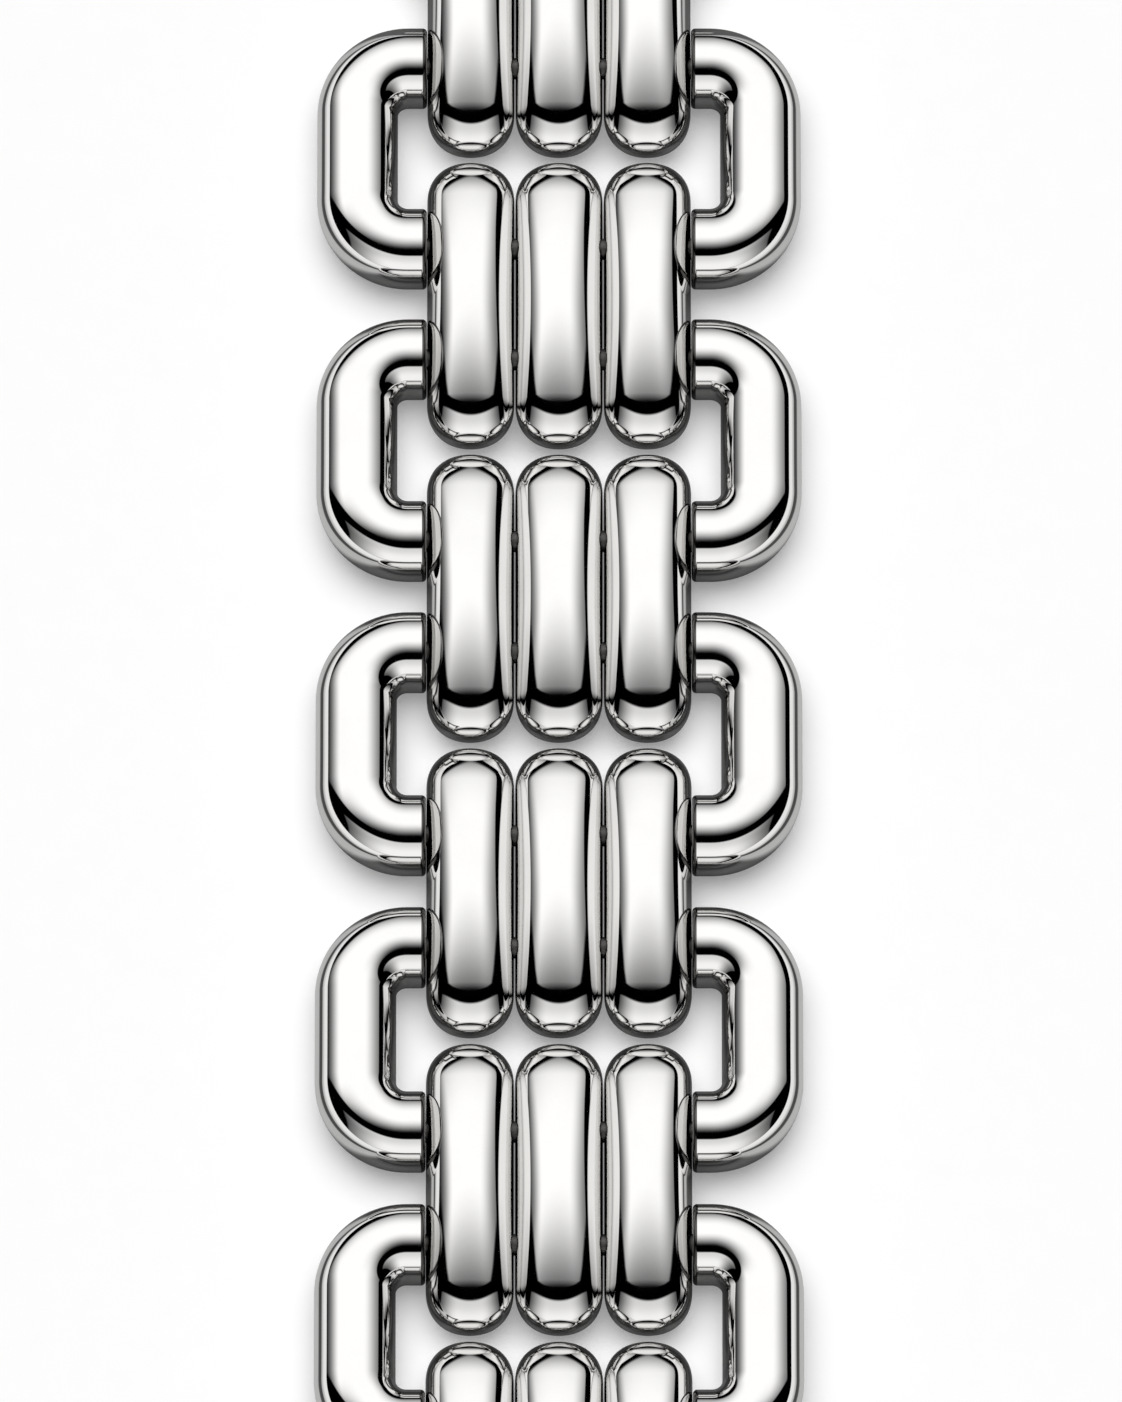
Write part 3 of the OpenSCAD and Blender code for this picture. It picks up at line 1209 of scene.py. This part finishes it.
class BRACELET_OT_c_links(bpy.types.Operator):
    """The polished C links down both sides"""

    bl_idname = "bracelet.c_links"
    bl_label = "C links"

    def execute(self, context):
        group = sizes("links")
        values = millimetres(
            group, "diameter", "bend_radius", "lip", "reach", "pin_diameter", "hole_space"
        )
        values["segments"] = group.segments
        half_span = (LINK_SPAN.y - values["diameter"]) / 2
        end_x = LINK_START_X + LINK_SPAN.x
        start_x = LINK_START_X - values["reach"]
        # The second material is painted shade on the legs' lips, for the dark gap to the barrels
        metals = polished_steel(), gap_shade_steel()
        for pins in LINK_PINS:
            tag = pins[-2:]
            for side, sign in (("left", -1), ("right", 1)):
                node = f"c_link_{side}_{tag}"
                centre = middle(node)
                bm = c_link(values, start_x, end_x, half_span, PINS_SPAN.x / 2)
                placed(bm, (0, centre.y, centre.z), sign)
                finished(bm, f"{side}_c_link_{tag}", node, "polished_steel", *metals)
        return {"FINISHED"}


class BRACELET_OT_link_pins(bpy.types.Operator):
    """Two link pins through every pair of C links"""

    bl_idname = "bracelet.link_pins"
    bl_label = "Link pins"

    def execute(self, context):
        # The link pins get painted shade, near black, as dark as the gaps they show through
        metal = pin_steel()
        chamfer = sizes("clasp").pin_chamfer / MM
        diameter = PINS_SPAN.z
        reach = PINS_SPAN.x / 2
        for node in LINK_PINS:
            centre = middle(node)
            bm = bmesh.new()
            for sign in (1, -1):
                y = centre.y + sign * (span(node).y - diameter) / 2
                rod(bm, diameter, -reach, reach, y, centre.z, chamfer)
            finished(bm, node.replace("link_pins", "pin_pair"), node, "pin_steel", metal)
        return {"FINISHED"}


class BRACELET_OT_spring_bars(bpy.types.Operator):
    """The two spring bars: tube, coil spring and sliding tips"""

    bl_idname = "bracelet.spring_bars"
    bl_label = "Spring bars"

    def execute(self, context):
        group = sizes("bars")
        bar = millimetres(
            group, "wall", "lip", "tip_diameter", "head", "flange", "travel", "wire", "rounding"
        )
        bar["turns"] = group.turns
        side = ROW_SPAN.x / 2
        half = SPRING_SPAN.x / 2
        metal = turned_steel()
        for name in BARS:
            centre = middle(f"{name}_tube")
            low, high = box_mm(f"{name}_tip_right")
            bm = placed(spring_tube(bar, TUBE_SPAN.x / 2, TUBE_SPAN.z), centre)
            finished(bm, f"{name}_barrel_tube", f"{name}_tube", "bar_steel", metal)
            for label, sign in (("left", -1), ("right", 1)):
                node = f"{name}_tip_{label}"
                bm = spring_tip(bar, low.x, side, high.x, SPRING_SPAN.z, TUBE_SPAN.z)
                placed(bm, centre, sign)
                finished(bm, f"{name}_nose_{label}", node, "bar_steel", metal)
                bm = placed(coil(bar, half, SPRING_SPAN.z), centre, sign)
                coil_name = f"{name}_coil_{label}"
                piece = finished(bm, coil_name, f"{name}_spring", "spring_steel", spring_wire())
                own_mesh(piece)
        return {"FINISHED"}


class BRACELET_OT_clasp(bpy.types.Operator):
    """The fold-over clasp: cover, two arms, hinge pins and snap bar"""

    bl_idname = "bracelet.clasp"
    bl_label = "Clasp"

    def execute(self, context):
        group = sizes("clasp")
        width = group.edge / MM
        cover = edged_copy("clasp_cover", width)
        finished(cover, "cover", "clasp_cover", "polished_steel", polished_steel())
        for name in ("middle_arm", "lower_arm"):
            node = f"clasp_{name}"
            finished(edged_copy(node, width), name, node, "arm_steel", brushed_steel())
        for name in ("hinge_pin_1", "hinge_pin_2", "snap_bar"):
            node = f"clasp_{name}"
            low, high = box_mm(node)
            centre = middle(node)
            bm = bmesh.new()
            chamfer = group.pin_chamfer / MM
            rod(bm, high.z - low.z, low.x, high.x, centre.y, centre.z, chamfer)
            finished(bm, name, node, "pin_steel", turned_steel())
        return {"FINISHED"}


class BRACELET_PT_panel(bpy.types.Panel):
    """Builds the bracelet piece by piece"""

    bl_idname = "BRACELET_PT_panel"
    bl_label = "Metal Watch Bracelet"
    bl_space_type = "VIEW_3D"
    bl_region_type = "UI"
    bl_category = "Bracelet"

    def draw(self, context):
        for operator in OPERATORS:
            self.layout.operator(operator.bl_idname)
        for name in GROUPS:
            group = sizes(name)
            self.layout.label(text=name.capitalize())
            for label in group.bl_rna.properties.keys():
                if label not in ("rna_type", "name"):
                    self.layout.prop(group, label)


GROUPS = {
    "barrels": BarrelSizes,
    "links": LinkSizes,
    "bars": BarSizes,
    "clasp": ClaspSizes,
    "steel": SteelLook,
    "studio": StudioLook,
}
OPERATORS = (
    BRACELET_OT_studio,
    BRACELET_OT_barrels,
    BRACELET_OT_c_links,
    BRACELET_OT_link_pins,
    BRACELET_OT_spring_bars,
    BRACELET_OT_clasp,
)


def register():
    for group in GROUPS.values():
        bpy.utils.register_class(group)
    for operator in OPERATORS:
        bpy.utils.register_class(operator)
    bpy.utils.register_class(BRACELET_PT_panel)
    for name, group in GROUPS.items():
        setattr(bpy.types.Scene, f"bracelet_{name}", PointerProperty(type=group))


def unregister():
    for name in GROUPS:
        delattr(bpy.types.Scene, f"bracelet_{name}")
    bpy.utils.unregister_class(BRACELET_PT_panel)
    for operator in reversed(OPERATORS):
        bpy.utils.unregister_class(operator)
    for group in reversed(GROUPS.values()):
        bpy.utils.unregister_class(group)


def main():
    register()
    bpy.ops.bracelet.studio()
    bpy.ops.bracelet.barrels()
    bpy.ops.bracelet.c_links()
    bpy.ops.bracelet.link_pins()
    bpy.ops.bracelet.spring_bars()
    bpy.ops.bracelet.clasp()


if __name__ == "__main__":
    main()
